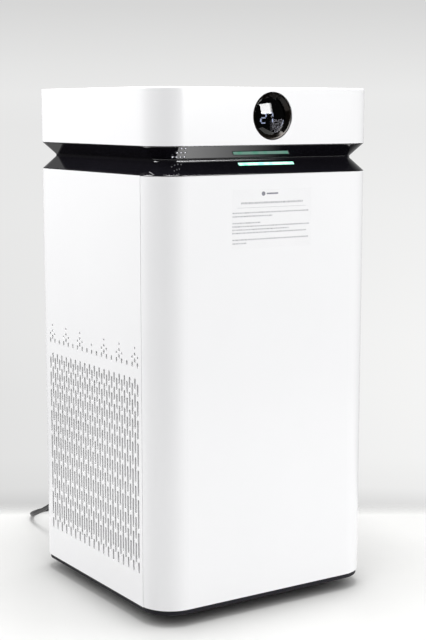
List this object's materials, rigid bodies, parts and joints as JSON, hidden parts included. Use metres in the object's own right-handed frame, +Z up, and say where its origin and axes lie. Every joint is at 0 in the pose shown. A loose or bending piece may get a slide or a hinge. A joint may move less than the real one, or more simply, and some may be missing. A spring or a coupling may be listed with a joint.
{
  "type": "air purifier",
  "caption": "Upright household air purifier on swivel casters, with a front door, slide-out filter stack, upright centrifugal fan, side intakes, top outlet, round touch display and mains lead.",
  "frame": {"origin": "on the floor at the centre of the footprint of the cabinet, cord left out", "axes": "+Z up, -Y is the front with the door and the display, +X is the right-hand side for someone who looks at the front"},
  "size_m": [0.32, 0.538, 0.638],
  "materials": {
    "white_shell": "satin white moulded shell",
    "duct_grey": "pale warm grey moulding",
    "black_gloss": "mirror gloss black",
    "black_matte": "fine grained black moulding",
    "dark_grey": "dark grey moulding",
    "smoke_glass": "smoked lens",
    "bronze_ring": "glossy dark bronze ring",
    "led_green": "lit light guide",
    "digit_white": "lit figures",
    "clear_film": "thin film",
    "steel": "bright steel",
    "zinc": "zinc plated steel",
    "aluminium": "plain aluminium sheet",
    "carbon": "coated honeycomb",
    "circuit_green": "circuit board",
    "rubber_black": "black rubber",
    "tread_grey": "caster wheel plastic",
    "cord_black": "flexible sheath",
    "magnet": "plated magnet"
  },
  "bodies": {
    "cabinet": {"side_panel_left": "white_shell", "side_panel_right": "white_shell", "rear_panel": "white_shell", "rear_grip_cup": "dark_grey", "inner_wall_left": "duct_grey", "inner_wall_right": "duct_grey", "front_frame": "duct_grey", "bay_back_plate": "duct_grey", "plenum_floor": "duct_grey", "slide_rails": "duct_grey", "fan_deck": "duct_grey", "motor_bridge": "zinc", "fan_motor": "zinc", "motor_bearings": "steel", "motor_dampers": "rubber_black", "top_cover": "white_shell", "outlet_grille": "dark_grey", "waist_band": "black_gloss", "led_bar": "led_green", "dust_sensor": "black_matte", "display_bezel": "bronze_ring", "display_glass": "smoke_glass", "display_digits": "digit_white", "display_board": "black_matte", "base_tray": "black_matte", "base_screws": "steel", "rear_screws": "steel", "door_strikers": "steel", "power_board": "circuit_green", "main_board": "circuit_green", "hv_module": "black_matte", "hv_contacts": "steel", "reed_switch": "dark_grey", "cord_gland": "rubber_black", "power_cord": "cord_black", "power_cord_coil": "cord_black", "plug_body": "rubber_black", "plug_blades": "steel"},
    "door": {"front_door": "white_shell", "door_magnets": "magnet", "info_film": "clear_film"},
    "prefilter": {"prefilter_frame": "duct_grey", "prefilter_mesh": "black_matte"},
    "ionizer": {"ionizer_frame": "black_matte", "ionizer_wires": "steel"},
    "collector": {"collector_frame": "black_matte", "collector_plates": "aluminium"},
    "collector_bail": {"collector_handle": "steel"},
    "ozone_filter": {"ozone_filter_frame": "duct_grey", "ozone_filter_core": "carbon"},
    "fan": {"fan_impeller": "dark_grey", "motor_shaft": "steel"},
    "fork_1": {"caster_fork_1": "black_matte"},
    "wheel_1": {"caster_wheel_1": "tread_grey"},
    "fork_2": {"caster_fork_2": "black_matte"},
    "wheel_2": {"caster_wheel_2": "tread_grey"},
    "fork_3": {"caster_fork_3": "black_matte"},
    "wheel_3": {"caster_wheel_3": "tread_grey"},
    "fork_4": {"caster_fork_4": "black_matte"},
    "wheel_4": {"caster_wheel_4": "tread_grey"}
  },
  "joints": [
    {"name": "door_slide", "type": "slide", "parent": "cabinet", "child": "door", "axis": [0, -1, 0], "range_m": [0, 0.45]},
    {"name": "fan_spin", "type": "hinge", "parent": "cabinet", "child": "fan", "pos_m": [0, -0.004, 0.45], "axis": [0, 0, 1], "continuous": true},
    {"name": "prefilter_slide", "type": "slide", "parent": "cabinet", "child": "prefilter", "axis": [0, -1, 0], "range_m": [0, 0.28]},
    {"name": "ionizer_slide", "type": "slide", "parent": "cabinet", "child": "ionizer", "axis": [0, -1, 0], "range_m": [0, 0.28]},
    {"name": "collector_slide", "type": "slide", "parent": "cabinet", "child": "collector", "axis": [0, -1, 0], "range_m": [0, 0.28]},
    {"name": "ozone_filter_slide", "type": "slide", "parent": "cabinet", "child": "ozone_filter", "axis": [0, -1, 0], "range_m": [0, 0.28]},
    {"name": "handle_swing", "type": "hinge", "parent": "collector", "child": "collector_bail", "pos_m": [0, -0.1455, 0.273], "axis": [-1, 0, 0], "range_deg": [0, 92]},
    {"name": "caster_swivel_1", "type": "hinge", "parent": "cabinet", "child": "fork_1", "pos_m": [-0.1, -0.095, 0.04], "axis": [0, 0, 1], "continuous": true},
    {"name": "wheel_roll_1", "type": "hinge", "parent": "fork_1", "child": "wheel_1", "pos_m": [-0.1, -0.087, 0.013], "axis": [1, 0, 0], "continuous": true},
    {"name": "caster_swivel_2", "type": "hinge", "parent": "cabinet", "child": "fork_2", "pos_m": [0.1, -0.095, 0.04], "axis": [0, 0, 1], "continuous": true},
    {"name": "wheel_roll_2", "type": "hinge", "parent": "fork_2", "child": "wheel_2", "pos_m": [0.1, -0.087, 0.013], "axis": [1, 0, 0], "continuous": true},
    {"name": "caster_swivel_3", "type": "hinge", "parent": "cabinet", "child": "fork_3", "pos_m": [-0.1, 0.095, 0.04], "axis": [0, 0, 1], "continuous": true},
    {"name": "wheel_roll_3", "type": "hinge", "parent": "fork_3", "child": "wheel_3", "pos_m": [-0.1, 0.103, 0.013], "axis": [1, 0, 0], "continuous": true},
    {"name": "caster_swivel_4", "type": "hinge", "parent": "cabinet", "child": "fork_4", "pos_m": [0.1, 0.095, 0.04], "axis": [0, 0, 1], "continuous": true},
    {"name": "wheel_roll_4", "type": "hinge", "parent": "fork_4", "child": "wheel_4", "pos_m": [0.1, 0.103, 0.013], "axis": [1, 0, 0], "continuous": true}
  ],
  "couplings": [
    {"joint": "prefilter_slide", "follows": "door_slide", "ratio": 0.62},
    {"joint": "ionizer_slide", "follows": "door_slide", "ratio": 0.62},
    {"joint": "collector_slide", "follows": "door_slide", "ratio": 0.62},
    {"joint": "ozone_filter_slide", "follows": "door_slide", "ratio": 0.62},
    {"joint": "handle_swing", "follows": "door_slide", "rad_per_m": 3.49}
  ]
}
